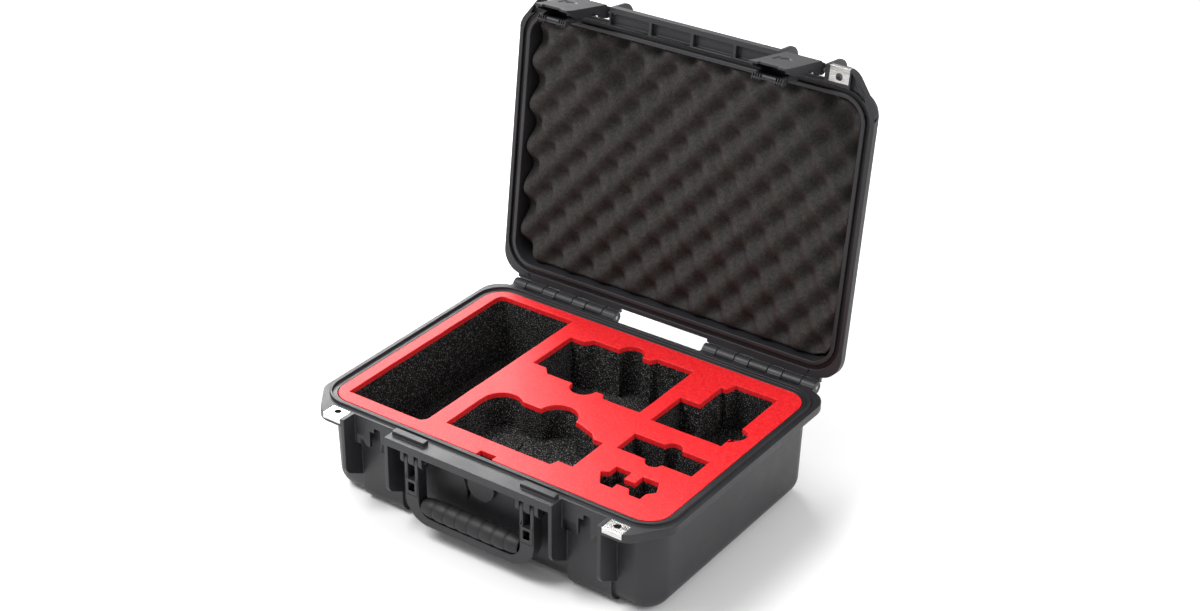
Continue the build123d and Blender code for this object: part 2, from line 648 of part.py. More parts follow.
def make_handle_grip():
    bottom = HANDLE_Z - HANDLE_DROP
    grip_z = bottom + HANDLE_RIM + GRIP_RADIUS - 1
    length = 2 * (ARM_X - ARM_W / 2 - GRIP_END_GAP)
    grip = rod(-length / 2, length / 2, HANDLE_Y, grip_z, GRIP_RADIUS)
    grip = fillet(grip.edges().filter_by(GeomType.CIRCLE), 6)
    pitch = length / (GRIP_GROOVES + 1)
    for index in range(GRIP_GROOVES):
        x = -length / 2 + (index + 1) * pitch
        groove = rod(x - 0.8, x + 0.8, HANDLE_Y, grip_z, GRIP_RADIUS + 1)
        grip -= groove - rod(x - 0.8, x + 0.8, HANDLE_Y, grip_z, GRIP_RADIUS - 0.8)
    grip -= rod(-length, length, HANDLE_Y, grip_z, GRIP_CORE_RADIUS + PIN_CLEAR)
    rim_top = bottom + HANDLE_RIM
    return grip - block(-length, length, HANDLE_Y - 30, HANDLE_Y + 30, bottom - 5, rim_top)


def handle_pin(side):
    reach = ARM_W / 2 + LUG_GAP + LUG_W - 0.5
    return rod(side * ARM_X - reach, side * ARM_X + reach, HANDLE_Y, HANDLE_Z, HANDLE_PIN_RADIUS)


# ---------------------------------------------------------------- latches
def latch_pin(side, clear):
    reach = LATCH_BAY / 2 + FIN_THICK
    return rod(side * BAY_X - reach, side * BAY_X + reach, LATCH_Y, LATCH_Z, LATCH_PIN_RADIUS + clear)


def trigger_pin(side, clear):
    start = side * BAY_X - LEVER_W / 2
    return rod(start, start + LEVER_W, TRIGGER_PIN_Y, TRIGGER_Z, TRIGGER_PIN_RADIUS + clear)


def make_lever(side):
    """Lever in its latched position: cover plate, two side walls and a barrel on the pin."""
    x = side * BAY_X
    half = LEVER_W / 2
    back = LEVER_FRONT + LEVER_THICK
    bottom = BASE_HEIGHT - LEVER_DROP
    top = LATCH_Z - LEVER_BARREL_RADIUS
    lever = block(x - half, x + half, LEVER_FRONT, back, bottom, top)
    lever += rod(x - half, x + half, LATCH_Y, LATCH_Z, LEVER_BARREL_RADIUS)
    neck = ((back, top - 8), (LEVER_FRONT, top - 8), (LEVER_FRONT, top),
            (LATCH_Y - 2, LATCH_Z + 4.5), (LATCH_Y + 2, LATCH_Z - 4.5))
    lever += side_profile(neck, x - half, x + half)
    wall_back = LEVER_FRONT + LEVER_SIDE_DEPTH
    wall = ((back - 1, bottom + 4), (wall_back - 5, bottom + 4), (wall_back, bottom + 22),
            (wall_back, top), (back - 1, top))
    for start in (x - half, x + half - LEVER_THICK):
        lever += side_profile(wall, start, start + LEVER_THICK)
    notch_half = LEVER_NOTCH_W / 2
    notch_top = bottom + LEVER_NOTCH_H
    lever -= block(x - notch_half, x + notch_half, LEVER_FRONT - 1, back + 1, bottom - 1, notch_top)
    dimple_z = (bottom + top) / 2 - 2
    dimple = Pos(x, LEVER_FRONT, dimple_z) * Rot(90, 0, 0) * Cylinder(LEVER_DIMPLE_RADIUS, 1.2)
    lever -= dimple
    lever -= latch_pin(side, PIN_CLEAR)
    return lever - trigger_pin(side, 0)


def make_trigger(side):
    """Release trigger in its latched position: cheeks, hook, finger bar and comb ribs."""
    x = side * BAY_X
    half = TRIGGER_W / 2
    bottom = BASE_HEIGHT - TRIGGER_BOTTOM
    hook_low = HOOK_Z - HOOK_THICK
    cheek = ((TRIGGER_PIN_Y - 3, TRIGGER_Z), (TRIGGER_PIN_Y + 3, TRIGGER_Z), (TRIGGER_PIN_Y + 3, HOOK_Z),
             (TRIGGER_INNER - 4, hook_low), (TRIGGER_INNER - 4, bottom), (TRIGGER_PIN_Y + 4, bottom),
             (TRIGGER_PIN_Y - 3, HOOK_Z))
    trigger = Part()
    for start in (x - half, x + half - TRIGGER_CHEEK):
        trigger += side_profile(cheek, start, start + TRIGGER_CHEEK)
        trigger += rod(start, start + TRIGGER_CHEEK, TRIGGER_PIN_Y, TRIGGER_Z, 3)
    trigger += block(x - half, x + half, TRIGGER_PIN_Y - 1, TRIGGER_INNER, hook_low, HOOK_Z)
    plate_back = TRIGGER_INNER - 4
    trigger += block(x - half, x + half, plate_back - 2, plate_back, bottom, hook_low)
    trigger += rod(x - half, x + half, plate_back - 1, bottom + 4, FINGER_BAR_RADIUS)
    for index in range(COMB_RIBS):
        z = bottom + 2 + index * COMB_PITCH
        for start in (x - half - COMB_OUT, x + half - 0.5):
            end = start + COMB_OUT + 0.5
            trigger += block(start, end, TRIGGER_PIN_Y + 3, plate_back, z, z + COMB_RIB)
    return trigger - trigger_pin(side, PIN_CLEAR)


def make_spring(side):
    """Torsion spring on the trigger's pin, as closely wound turns and one leg."""
    start = side * BAY_X - SPRING_TURNS * SPRING_WIRE
    spring = Part()
    for index in range(SPRING_TURNS):
        x = start + index * SPRING_PITCH
        spring += Pos(x, TRIGGER_PIN_Y, TRIGGER_Z) * Rot(0, 90, 0) * Torus(SPRING_RADIUS, SPRING_WIRE)
    leg_x = start + (SPRING_TURNS - 1) * SPRING_PITCH
    y0 = TRIGGER_PIN_Y + SPRING_RADIUS - SPRING_WIRE
    leg = block(leg_x, leg_x + SPRING_WIRE, y0, y0 + SPRING_WIRE, TRIGGER_Z - SPRING_LEG, TRIGGER_Z + 1)
    return spring + leg


def in_lever(shape, side):
    """From the latched position to the rest position, then with the open lid."""
    axis = Axis((side * BAY_X, LATCH_Y, LATCH_Z), (1, 0, 0))
    return in_lid(shape.rotate(axis, -LEVER_REST_DEG))


# ---------------------------------------------------------------- pressure valve
def valve_round(radius, y_front, y_back):
    """Cylinder along Y on the valve's axis."""
    place = Pos(0, (y_front + y_back) / 2, BASE_HEIGHT - VALVE_DROP) * Rot(90, 0, 0)
    return place * Cylinder(radius, y_back - y_front)


def make_valve_body():
    """Stem through the wall with a flat head, drilled through."""
    head = valve_round(VALVE_HEAD_RADIUS, VALVE_FACE - VALVE_HEAD_THICK, VALVE_FACE)
    stem = valve_round(VALVE_STEM_RADIUS, VALVE_FACE - 0.5, VALVE_FACE + WALL - 0.5)
    return head + stem - valve_round(VALVE_BORE_RADIUS, VALVE_FACE - 20, VALVE_FACE + 20)


def make_valve_cap():
    """Round cap that snaps over the head, hollow at the back."""
    front = VALVE_FACE - VALVE_HEAD_THICK - VALVE_CAP_THICK
    cap = valve_round(VALVE_CAP_RADIUS, front, VALVE_FACE - VALVE_CAP_LIFT)
    cap -= valve_round(VALVE_HEAD_RADIUS + PIN_CLEAR, VALVE_FACE - VALVE_HEAD_THICK, VALVE_FACE + 1)
    front_edge = cap.edges().filter_by(GeomType.CIRCLE).group_by(Axis.Y)[0]
    return fillet(front_edge, VALVE_CAP_THICK / 3)


def make_valve_seal():
    place = Pos(0, VALVE_FACE + VALVE_SEAT / 2, BASE_HEIGHT - VALVE_DROP) * Rot(90, 0, 0)
    ring = Cylinder(VALVE_SEAL_RADIUS, VALVE_SEAT) - Cylinder(VALVE_STEM_RADIUS + PIN_CLEAR, 2 * VALVE_SEAT)
    return place * ring


NODES = {
    "base_shell": make_base_shell(),
    "base_foam_tray": make_base_foam_tray(),
    "base_foam_top": make_base_foam_top(),
    "base_padlock_plates": Compound([padlock_plate(s, LAND_Z, -1) for s in SIDES]),
    "hinge_pins": Compound([hinge_pin(s) for s in SIDES]),
    "handle_pins": Compound([handle_pin(s) for s in SIDES]),
    "valve_body": make_valve_body(),
    "valve_cap": make_valve_cap(),
    "valve_seal": make_valve_seal(),
    "handle_frame": make_handle_frame(),
    "handle_grip": make_handle_grip(),
    "lid_shell": in_lid(make_lid_shell()),
    "lid_gasket": in_lid(make_lid_gasket()),
    "lid_foam": in_lid(make_lid_foam()),
    "lid_padlock_plates": in_lid(Compound([padlock_plate(s, LID_LAND_Z, 1) for s in SIDES])),
    "latch_pins": in_lid(Compound([latch_pin(s, 0) for s in SIDES])),
}
for name, side in (("left", -1), ("right", 1)):
    NODES["latch_lever_" + name] = in_lever(make_lever(side), side)
    NODES["latch_trigger_" + name] = in_lever(make_trigger(side), side)
    NODES["trigger_pin_" + name] = in_lever(trigger_pin(side, 0), side)
    NODES["trigger_spring_" + name] = in_lever(make_spring(side), side)

for name, shape in NODES.items():
    export_step(shape, "parts/" + name + ".step")
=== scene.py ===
import json
import math

import bmesh
import bpy
from mathutils import Matrix, Quaternion, Vector, noise

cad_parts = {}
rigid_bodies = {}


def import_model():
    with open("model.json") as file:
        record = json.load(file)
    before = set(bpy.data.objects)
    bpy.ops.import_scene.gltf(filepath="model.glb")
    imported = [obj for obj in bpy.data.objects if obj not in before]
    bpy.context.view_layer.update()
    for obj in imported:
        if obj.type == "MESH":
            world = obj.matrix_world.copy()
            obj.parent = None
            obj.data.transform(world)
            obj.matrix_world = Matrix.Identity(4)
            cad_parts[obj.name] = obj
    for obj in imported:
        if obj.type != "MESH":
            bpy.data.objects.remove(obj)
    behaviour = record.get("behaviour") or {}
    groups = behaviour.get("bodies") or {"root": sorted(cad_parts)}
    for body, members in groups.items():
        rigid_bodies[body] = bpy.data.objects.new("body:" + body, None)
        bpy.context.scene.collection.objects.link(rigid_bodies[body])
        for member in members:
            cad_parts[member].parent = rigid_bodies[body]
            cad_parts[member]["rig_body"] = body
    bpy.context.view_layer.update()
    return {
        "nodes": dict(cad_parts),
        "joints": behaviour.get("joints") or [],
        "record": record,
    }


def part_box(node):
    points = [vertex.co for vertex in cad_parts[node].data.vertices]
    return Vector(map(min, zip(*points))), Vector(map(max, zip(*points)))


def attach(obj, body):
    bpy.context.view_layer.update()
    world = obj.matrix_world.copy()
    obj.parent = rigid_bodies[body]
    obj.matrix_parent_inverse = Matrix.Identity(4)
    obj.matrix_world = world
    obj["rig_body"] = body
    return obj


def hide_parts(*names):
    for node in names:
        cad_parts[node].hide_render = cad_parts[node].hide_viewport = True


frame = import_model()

# Looks of the moulded carrying case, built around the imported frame. Metres, in the frame's axes.
# Shapes of the lid are drawn with the lid shut and then turned open, as in the frame.
MM = 0.001
JOINTS = {joint["name"]: joint for joint in frame["joints"]}
SLOTS = {part["node"]: part["material_slot"] for part in frame["record"]["subparts"]}


def about(joint, degrees):
    """Turn about a joint's axis."""
    place = Vector(JOINTS[joint]["pos_m"])
    turn = Matrix.Rotation(math.radians(degrees), 4, Vector(JOINTS[joint]["axis"]))
    return Matrix.Translation(place) @ turn @ Matrix.Translation(-place)


LID_OPEN = about("lid_hinge", -JOINTS["lid_hinge"]["range_deg"][1])
FOAM_LOW, FOAM_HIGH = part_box("base_foam_top")
TRAY_LOW, TRAY_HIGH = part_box("base_foam_tray")
RIM_Z = FOAM_HIGH.z                 # mating plane of base and lid
FLOOR_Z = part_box("base_shell")[0].z


# ---------------------------------------------------------------- materials
NOISE_LOW, NOISE_HIGH = 0.3, 0.7    # where the value of a noise texture mostly lies
MIDDLE = (0.35, 0.65)               # the part of it that a blend of two tones runs over
CLOUD_SIZE = 0.12                   # metres
SCUFF_SIZE = 0.03


def blank_material(name, colour, roughness, **sockets):
    """Principled material; sockets are its uniform values, by name with underscores."""
    material = bpy.data.materials.new(name)
    material.use_nodes = True
    shader = material.node_tree.nodes["Principled BSDF"]
    shader.inputs["Base Color"].default_value = (*colour, 1)
    shader.inputs["Roughness"].default_value = roughness
    for socket, value in sockets.items():
        shader.inputs[socket.replace("_", " ")].default_value = value
    return material


def add_node(material, kind, links=(), values=(), **settings):
    """One node: links is (input name, socket) pairs and values is (input name, value) pairs."""
    made = material.node_tree.nodes.new(kind)
    for key, value in settings.items():
        setattr(made, key, value)
    for name, value in values:
        made.inputs[name].default_value = value
    for name, socket in links:
        material.node_tree.links.new(socket, made.inputs[name])
    return made


def texture(material, kind, size, stretch=(1, 1, 1), **values):
    """Procedural texture whose features are about size metres across, in the piece's own space."""
    place = add_node(material, "ShaderNodeTexCoord").outputs["Object"]
    if stretch != (1, 1, 1):
        scaled = add_node(material, "ShaderNodeMapping", [("Vector", place)], [("Scale", stretch)])
        place = scaled.outputs["Vector"]
    pairs = [("Scale", 1 / size)] + [(key.replace("_", " "), value) for key, value in values.items()]
    made = add_node(material, kind, [("Vector", place)], pairs)
    return made.outputs["Distance" if kind == "ShaderNodeTexVoronoi" else "Fac"]


def ramp(material, factor, low, high, dark, light):
    """Factor between low and high as a blend from dark to light."""
    made = add_node(material, "ShaderNodeValToRGB", [("Fac", factor)])
    made.color_ramp.elements[0].position = low
    made.color_ramp.elements[0].color = (*dark, 1)
    made.color_ramp.elements[1].position = high
    made.color_ramp.elements[1].color = (*light, 1)
    return made.outputs["Color"]


def spread(material, factor, low, high):
    """The usual range of a noise texture as a number from low to high."""
    values = [("From Min", NOISE_LOW), ("From Max", NOISE_HIGH), ("To Min", low), ("To Max", high)]
    return add_node(material, "ShaderNodeMapRange", [("Value", factor)], values).outputs["Result"]


def add_colours(material, one, other):
    """Sum of two colours."""
    made = add_node(material, "ShaderNodeVectorMath", operation="ADD")
    material.node_tree.links.new(one, made.inputs[0])
    material.node_tree.links.new(other, made.inputs[1])
    return made.outputs["Vector"]


def plug(material, socket, source):
    """Feeds a socket of the material's shader."""
    shader = material.node_tree.nodes["Principled BSDF"]
    material.node_tree.links.new(source, shader.inputs[socket])


def bump(material, height, depth, strength, below=None):
    """Relief of the given depth in metres, on top of another relief if one is given."""
    links = [("Height", height)] + ([("Normal", below)] if below else [])
    made = add_node(material, "ShaderNodeBump", links, [("Distance", depth), ("Strength", strength)])
    return made.outputs["Normal"]


def moulded(name, dark, light, roughness, grain):
    """Moulded plastic: a fine even texture, with cloudy changes in tone and gloss."""
    material = blank_material(name, light, roughness, Specular_IOR_Level=0.4)
    cloud = texture(material, "ShaderNodeTexNoise", CLOUD_SIZE, Detail=4, Roughness=0.6)
    plug(material, "Base Color", ramp(material, cloud, *MIDDLE, dark, light))
    scuff = texture(material, "ShaderNodeTexNoise", SCUFF_SIZE, Detail=6, Roughness=0.7)
    plug(material, "Roughness", spread(material, scuff, roughness - 0.05, roughness + 0.06))
    pores = texture(material, "ShaderNodeTexNoise", grain, Detail=3, Roughness=0.6)
    dimples = texture(material, "ShaderNodeTexVoronoi", grain * 1.6, Randomness=1.0)
    coarse = bump(material, dimples, 0.12 * MM, 0.25)
    plug(material, "Normal", bump(material, pores, 0.2 * MM, 0.35, coarse))
    return material


def foam(name, dark, base, painted_glint, grain, low, high, relief):
    """Cut foam: small cells, with painted highlights: bright specks added to the colour where cells would
    catch the light.
    """
    material = blank_material(name, base, 0.9, Specular_IOR_Level=0.15)
    cells = texture(material, "ShaderNodeTexNoise", grain, Detail=2, Roughness=0.5)
    cloud = texture(material, "ShaderNodeTexNoise", grain * 5, Detail=3, Roughness=0.6)
    body = ramp(material, cloud, *MIDDLE, dark, base)
    # Painted highlights: bright specks added to the base colour.
    painted_glints = ramp(material, cells, low, high, (0, 0, 0), painted_glint)
    plug(material, "Base Color", add_colours(material, body, painted_glints))
    pits = texture(material, "ShaderNodeTexVoronoi", grain * 1.3, Randomness=1.0)
    coarse = bump(material, pits, relief, 0.5)
    plug(material, "Normal", bump(material, cells, relief, 0.6, coarse))
    return material


def steel_material():
    """Pressed bright sheet with fine drawn lines along X."""
    material = blank_material("steel", (0.62, 0.61, 0.6), 0.24, Metallic=1.0)
    lines = texture(material, "ShaderNodeTexNoise", 0.6 * MM, (0.05, 1, 1), Detail=4, Roughness=0.6)
    plug(material, "Roughness", spread(material, lines, 0.16, 0.34))
    tone = ramp(material, lines, *MIDDLE, (0.42, 0.41, 0.4), (0.78, 0.77, 0.75))
    plug(material, "Base Color", tone)
    plug(material, "Normal", bump(material, lines, 0.03 * MM, 0.3))
    return material


def wire_material():
    """Duller steel for pins, with fine marks along X."""
    material = blank_material("pin", (0.42, 0.42, 0.42), 0.35, Metallic=1.0)
    marks = texture(material, "ShaderNodeTexNoise", 0.8 * MM, (0.1, 1, 1), Detail=4, Roughness=0.6)
    plug(material, "Roughness", spread(material, marks, 0.28, 0.45))
    return material


def red_foam_material():
    """Bright sheet whose cut cells scatter a little light at low angles; its pale specks are painted
    highlights.
    """
    # The third colour is that of the painted highlights on the cells.
    material = foam("red_foam", (0.66, 0.003, 0.008), (0.82, 0.008, 0.014), (0.16, 0.06, 0.05),
                    1.1 * MM, 0.52, 0.72, 0.35 * MM)
    shader = material.node_tree.nodes["Principled BSDF"]
    shader.inputs["Roughness"].default_value = 0.5
    shader.inputs["Specular IOR Level"].default_value = 0.45
    return material


# The third colour of each foam is that of its painted highlights, bright specks on the cells.
MATERIALS = {
    "shell": moulded("shell", (0.017, 0.017, 0.019), (0.024, 0.024, 0.027), 0.44, 0.8 * MM),
    "trim": moulded("trim", (0.017, 0.017, 0.019), (0.023, 0.023, 0.026), 0.42, 0.6 * MM),
    "grip": moulded("grip", (0.010, 0.010, 0.011), (0.015, 0.015, 0.016), 0.55, 0.5 * MM),
    "seal": moulded("seal", (0.004, 0.004, 0.004), (0.007, 0.007, 0.007), 0.5, 0.7 * MM),
    "black_foam": foam("black_foam", (0.005, 0.005, 0.005), (0.013, 0.013, 0.013), (0.30, 0.30, 0.29),
                       1.3 * MM, 0.58, 0.70, 0.5 * MM),
    "red_foam": red_foam_material(),
    "lid_foam": foam("lid_foam", (0.026, 0.024, 0.023), (0.040, 0.037, 0.035), (0.05, 0.045, 0.04),
                     1.0 * MM, 0.52, 0.8, 0.25 * MM),
    "steel": steel_material(),
    "pin": wire_material(),
}


# ---------------------------------------------------------------- pieces
def add_piece(name, bm, body, slot, nodes=()):
    """Object from a bmesh, riding on a body, with its slot's material."""
    mesh = bpy.data.meshes.new(name)
    bmesh.ops.recalc_face_normals(bm, faces=bm.faces)
    bm.to_mesh(mesh)
    bm.free()
    mesh.materials.append(MATERIALS[slot])
    for polygon in mesh.polygons:
        polygon.use_smooth = True
    piece = bpy.data.objects.new(name, mesh)
    bpy.context.scene.collection.objects.link(piece)
    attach(piece, body)
    if nodes:
        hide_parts(*nodes)
    return piece


def round_edges(piece, width, segments=2, angle=35):
    """Rounds every sharp edge and keeps the flat faces flat."""
    bevel = piece.modifiers.new("rounding", "BEVEL")
    bevel.width = width
    bevel.segments = segments
    bevel.limit_method = "ANGLE"
    bevel.angle_limit = math.radians(angle)
    bevel.use_clamp_overlap = False
    bevel.harden_normals = False
    bevel.miter_outer = "MITER_ARC"
    flat = piece.modifiers.new("flat_faces", "WEIGHTED_NORMAL")
    flat.keep_sharp = False
    flat.weight = 80
    return piece


WELD = 0.003 * MM                   # corners closer than this are one corner
FLAT = math.radians(0.8)            # faces that differ by less than this are one face
MOULDING_STEP = 14 * MM             # large faces are cut up this finely, so that they shade evenly


def moulding(node, width):
    """A moulded part: the frame's shape with its flat triangles joined and its edges rounded."""
    bm = bmesh.new()
    bm.from_mesh(frame["nodes"][node].data)
    bmesh.ops.remove_doubles(bm, verts=bm.verts, dist=WELD)
    bmesh.ops.dissolve_limit(bm, angle_limit=FLAT, verts=bm.verts, edges=bm.edges)
    slice_up(bm, MOULDING_STEP)
    piece = add_piece(node + "_moulding", bm, frame["nodes"][node]["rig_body"], SLOTS[node], [node])
    return round_edges(piece, width)


def paint(node):
    """A frame node that is shown as it is, with its slot's material."""
    mesh = frame["nodes"][node].data
    mesh.materials.clear()
    mesh.materials.append(MATERIALS[SLOTS[node]])


# ---------------------------------------------------------------- shapes
CARVE_WELD = 0.02 * MM
ON_PLANE = 0.05 * MM                # corners this near to a cutting plane are left as they are


def disc(x, y, radius):
    """Round outline in millimetres."""
    count = 28
    angles = [2 * math.pi * index / count for index in range(count)]
    return [(x + radius * math.cos(angle), y + radius * math.sin(angle)) for angle in angles]


def arc(x, y, radius, start, end, count=10):
    """Points of an arc in millimetres, between two angles in degrees."""
    angles = [math.radians(start + (end - start) * index / count) for index in range(count + 1)]
    return [(x + radius * math.cos(angle), y + radius * math.sin(angle)) for angle in angles]


def prism(bm, outline, z0, z1):
    """Closed prism over an outline in millimetres, from z0 to z1 in metres."""
    low = [bm.verts.new((x * MM, y * MM, z0)) for x, y in outline]
    high = [bm.verts.new((x * MM, y * MM, z1)) for x, y in outline]
    bm.faces.new(list(reversed(low)))
    bm.faces.new(high)
    for index in range(len(outline)):
        after = (index + 1) % len(outline)
        bm.faces.new((low[index], low[after], high[after], high[index]))


def front_prism(outline, y0, y1):
    """Prism along Y over an outline of x and z, in millimetres."""
    bm = bmesh.new()
    prism(bm, outline, y0 * MM, y1 * MM)
    for vert in bm.verts:
        vert.co = vert.co.xzy
    return bm


def side_prism(outline, x0, x1):
    """Prism along X over an outline of y and z, in millimetres."""
    bm = bmesh.new()
    prism(bm, outline, x0 * MM, x1 * MM)
    for vert in bm.verts:
        vert.co = vert.co.zxy
    return bm


def rectangle(u0, u1, v0, v1):
    """Outline of a rectangle, in the two axes of the prism that it is for."""
    return [(u0, v0), (u1, v0), (u1, v1), (u0, v1)]


def temporary(name, bm):
    """Plain object from a bmesh, to carve with and then remove."""
    mesh = bpy.data.meshes.new(name)
    bmesh.ops.recalc_face_normals(bm, faces=bm.faces)
    bm.to_mesh(mesh)
    bm.free()
    made = bpy.data.objects.new(name, mesh)
    bpy.context.scene.collection.objects.link(made)
    return made


def carve(blank, tools, operation="DIFFERENCE"):
    """The blank's mesh with each tool cut away or added, as a bmesh. Blank and tools are removed."""
    target = temporary("blank", blank)
    helpers = [temporary("tool", tool) for tool in tools]
    for helper in helpers:
        cut = target.modifiers.new("cut", "BOOLEAN")
        cut.object = helper
        cut.operation = operation
        cut.solver = "EXACT"
    evaluated = target.evaluated_get(bpy.context.evaluated_depsgraph_get())
    shape = bpy.data.meshes.new_from_object(evaluated)
    bm = bmesh.new()
    bm.from_mesh(shape)
    for helper in [target, *helpers]:
        bpy.data.objects.remove(helper)
    bmesh.ops.remove_doubles(bm, verts=bm.verts, dist=CARVE_WELD)
    bmesh.ops.dissolve_limit(bm, angle_limit=FLAT, verts=bm.verts, edges=bm.edges)
    return bm


def slice_up(bm, step, axes=(0, 1, 2)):
    """Cuts every face along evenly spaced planes, so that the surface can be moved gently."""
    for axis in axes:
        places = [vert.co[axis] for vert in bm.verts]
        low, high = min(places), max(places)
        count = max(1, round((high - low) / step))
        for index in range(1, count):
            place = Vector((0, 0, 0))
            normal = Vector((0, 0, 0))
            place[axis] = low + (high - low) * index / count
            normal[axis] = 1
            geometry = [*bm.verts, *bm.edges, *bm.faces]
            bmesh.ops.bisect_plane(bm, geom=geometry, dist=ON_PLANE, plane_co=place, plane_no=normal)


# The frame's shapes that only need their edges rounded, each with the rounding's width.
ROUNDED = {
    "base_shell": 0.7 * MM, "lid_shell": 0.7 * MM,
    "latch_trigger_left": 0.35 * MM, "latch_trigger_right": 0.35 * MM,
    "base_padlock_plates": 0.3 * MM, "lid_padlock_plates": 0.3 * MM,
}
SHOWN_AS_IS = ("hinge_pins", "handle_pins", "latch_pins", "trigger_pin_left", "trigger_pin_right",
               "trigger_spring_left", "trigger_spring_right", "valve_body", "valve_cap", "valve_seal",
               "lid_gasket")
for node, width in ROUNDED.items():
    moulding(node, width)
for node in SHOWN_AS_IS:
    paint(node)


# ---------------------------------------------------------------- handle frame
# Millimetres.
HANDLE_LOW, HANDLE_HIGH = [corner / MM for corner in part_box("handle_frame")]
ARM_W = 20
OUTER_BEND = 34
INNER_BEND = 18
RIM = 11                            # height of the bottom rail
PRONG = 5
PIN_HOLE = 2.05                     # radius, here and in the levers
PIVOT_Y = (HANDLE_LOW.y + HANDLE_HIGH.y) / 2
PIVOT_Z = HANDLE_HIGH.z - (HANDLE_HIGH.y - HANDLE_LOW.y) / 2
SLOT_FOOT = PIVOT_Z - 23
WINDOW = (9, SLOT_FOOT - 17, SLOT_FOOT - 5)      # width, bottom and top
COVER_FOOT = SLOT_FOOT - 22
COVER_PROUD = 0.9
COVER_INSET = 1                     # the raised cover is narrower than the arm by this on each side
LAP = 2                             # how far a prong reaches into its arm
THROUGH = 5                         # how far a cutter passes the faces it cuts
HANDLE_STEP = 25 * MM


def make_handle():
    """Bent frame with two forked arms; each arm's upper part stands a little proud."""
    half = HANDLE_HIGH.x
    half_arm = ARM_W / 2
    inner = half - ARM_W
    low = HANDLE_LOW.z
    back, front = HANDLE_HIGH.y, HANDLE_LOW.y
    bend = half - OUTER_BEND
    turn = inner - INNER_BEND
    outline = [(-half, SLOT_FOOT)] + arc(-bend, low + OUTER_BEND, OUTER_BEND, 180, 270)
    outline += arc(bend, low + OUTER_BEND, OUTER_BEND, 270, 360) + [(half, SLOT_FOOT), (inner, SLOT_FOOT)]
    outline += arc(turn, low + RIM + INNER_BEND, INNER_BEND, 360, 270)
    outline += arc(-turn, low + RIM + INNER_BEND, INNER_BEND, 270, 180) + [(-inner, SLOT_FOOT)]
    added = []
    windows = []
    depth = (back - front) / 2
    foot = SLOT_FOOT - LAP
    prong = [(back, foot)] + arc(PIVOT_Y, PIVOT_Z, depth, 0, 180, 16) + [(front, foot)]
    for side in (-1, 1):
        middle = side * (half - half_arm)
        for start in (middle - half_arm, middle + half_arm - PRONG):
            added.append(side_prism(prong, start, start + PRONG))
        cover = rectangle(middle - half_arm + COVER_INSET, middle + half_arm - COVER_INSET,
                          COVER_FOOT, SLOT_FOOT)
        added.append(front_prism(cover, front - COVER_PROUD, front + 1))
        wide, bottom, top = WINDOW
        hole = rectangle(middle - wide / 2, middle + wide / 2, bottom, top)
        windows.append(front_prism(hole, front - THROUGH, back + THROUGH))
    bm = carve(front_prism(outline, front, back), added, "UNION")
    windows.append(side_prism(disc(PIVOT_Y, PIVOT_Z, PIN_HOLE), -half - 2, half + 2))
    bm = carve(bm, windows)
    slice_up(bm, HANDLE_STEP, (0, 2))
    body = frame["nodes"]["handle_frame"]["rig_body"]
    round_edges(add_piece("handle_frame_bent", bm, body, "trim", ["handle_frame"]), 1.0 * MM, 3)


# ---------------------------------------------------------------- latch levers
# Drawn latched on the shut lid, in millimetres from the lever's pin.
LEVER_REST = 4                      # degrees that a lever hangs out from its latched angle
LEVER_HALF = 24.1
LEVER_FACE = -10.5                  # outer face
LEVER_SKIN = 3
LEVER_BACK = LEVER_FACE + LEVER_SKIN
LEVER_TOP = -6                      # upper end of the cover plate
LEVER_BEND = -74                    # the plate bends outwards below this
LEVER_KICK = 0.8                    # how far the free edge stands out
LEVER_FOOT = -90                    # free edge
LEVER_STEP = 16 * MM
BARREL = 6                          # radius of the barrel round the pin
CHEEK = 7.5                         # radius of each side wall round the pin
# Outlines of y and z.
LEVER_PLATE = ((LEVER_FACE, LEVER_TOP), (LEVER_FACE, LEVER_BEND), (LEVER_FACE - LEVER_KICK, LEVER_FOOT),
               (LEVER_BACK - LEVER_KICK, LEVER_FOOT), (LEVER_BACK, LEVER_BEND), (LEVER_BACK, LEVER_TOP))
LEVER_NECK = ((LEVER_BACK, -14), (LEVER_FACE, -14), (LEVER_FACE, LEVER_TOP), (-2, 4.5), (2, -4.5))
LEVER_WALL = ((LEVER_BACK - 1, -86), (-5, -86), (1.5, -64), (1.5, -22), (6.5, -13), (6.5, -4),
              (LEVER_BACK - 1, LEVER_TOP))
NOTCH_HALF, NOTCH_RISE = 13, 5
DIMPLE = (-3, -43, 7, 0.9)          # x, z, radius and depth
MARK = (-14, -46, 18, 1.5, 0.6)     # x, z, length, width and height of the plain bar beside it
COMB_TEETH = 4                      # on each side
COMB_PITCH = 3.2
COMB_HALF = 19.9
TOOTH_HALF = 0.6                    # half of a tooth's thickness
TOOTH = ((3, -76), (3, -85), (10, -87), (11.5, -84), (9, -76))
BAR_FRONT, BAR_BACK = 6.5, 8.5      # y of the finger bar
BAR_TOP, BAR_FOOT = -79, -86
BAR_WAVE = 1.6                      # height of the wave along its lower edge
BAR_POINTS = 16


def lever_turn(name):
    """From drawn about the pin at the origin to where the frame holds the lever."""
    pin = LID_OPEN.inverted() @ Vector(JOINTS["latch_%s_hinge" % name]["pos_m"])
    return LID_OPEN @ Matrix.Translation(pin) @ Matrix.Rotation(math.radians(-LEVER_REST), 4, "X")


